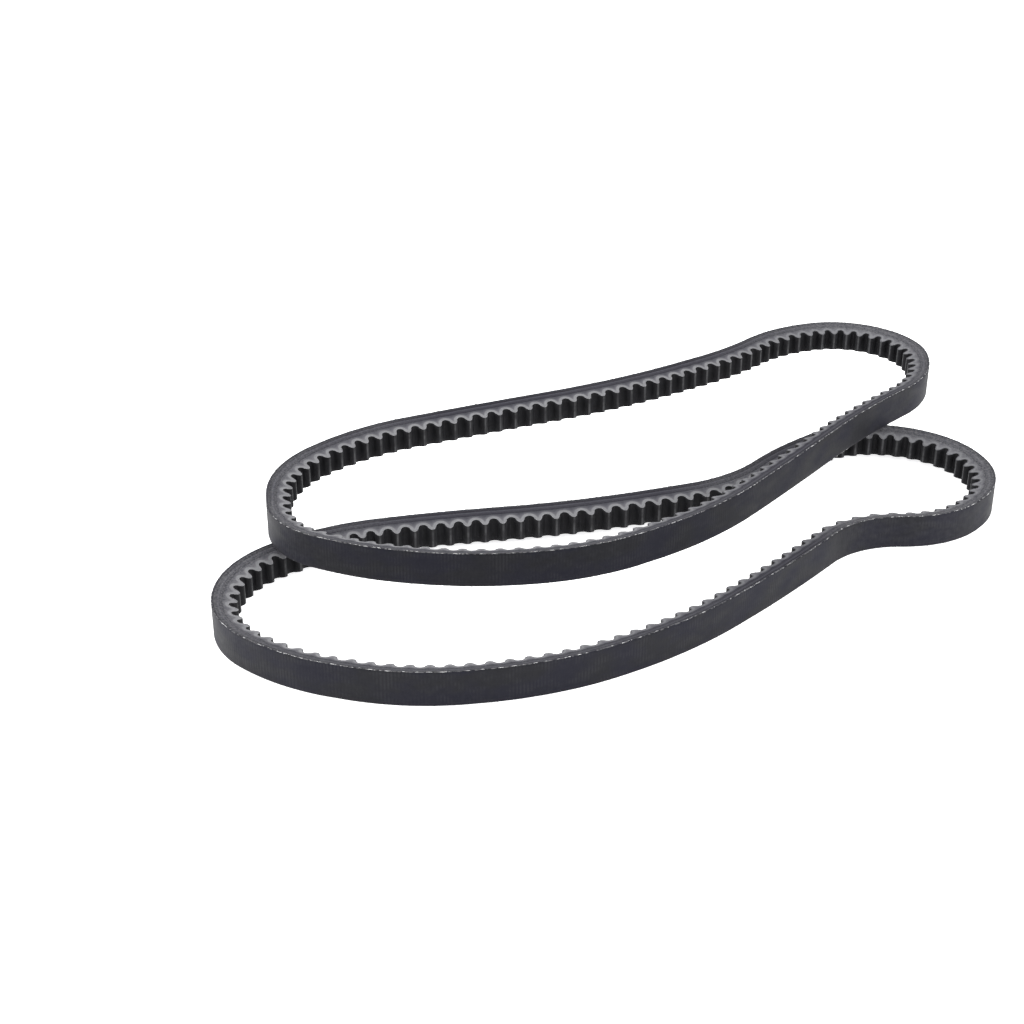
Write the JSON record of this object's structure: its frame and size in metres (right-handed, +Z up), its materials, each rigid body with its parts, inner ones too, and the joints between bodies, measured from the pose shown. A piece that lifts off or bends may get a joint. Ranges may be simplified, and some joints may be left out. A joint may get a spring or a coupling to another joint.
{
  "type": "v belt",
  "caption": "Endless cogged V-belts with a wedge section and raw cut flanks, laid one across the other, for driving grooved pulleys.",
  "frame": {"origin": "on the table, under the middle of the two belts' extents", "axes": "+Z up, +X to the right and +Y to the back as the pair is seen from its front"},
  "size_m": [0.293, 0.2775, 0.0261],
  "materials": {
    "back_fabric": "rubberised charcoal weave with fine cross ribs, dull",
    "cushion_rubber": "cut rubber edge, dull",
    "gum_rubber": "dark cut gum edge, dull",
    "tensile_cord": "twisted polyester cord, off-white",
    "compression_rubber": "ground fibre-filled rubber, grainy mid-grey",
    "cog_facing": "moulded near-black facing cloth"
  },
  "bodies": {
    "lower_belt": {"lower_back_fabric": "back_fabric", "lower_cushion_rubber": "cushion_rubber", "lower_outer_gum": "gum_rubber", "lower_tensile_cord": "tensile_cord", "lower_inner_gum": "gum_rubber", "lower_compression_rubber": "compression_rubber", "lower_cog_facing": "cog_facing"},
    "upper_belt": {"upper_back_fabric": "back_fabric", "upper_cushion_rubber": "cushion_rubber", "upper_outer_gum": "gum_rubber", "upper_tensile_cord": "tensile_cord", "upper_inner_gum": "gum_rubber", "upper_compression_rubber": "compression_rubber", "upper_cog_facing": "cog_facing"}
  },
  "joints": [
    {"name": "upper_belt_lift", "type": "slide", "parent": "lower_belt", "child": "upper_belt", "axis": [0, 0, 1], "range_m": [0, 0.06]}
  ]
}
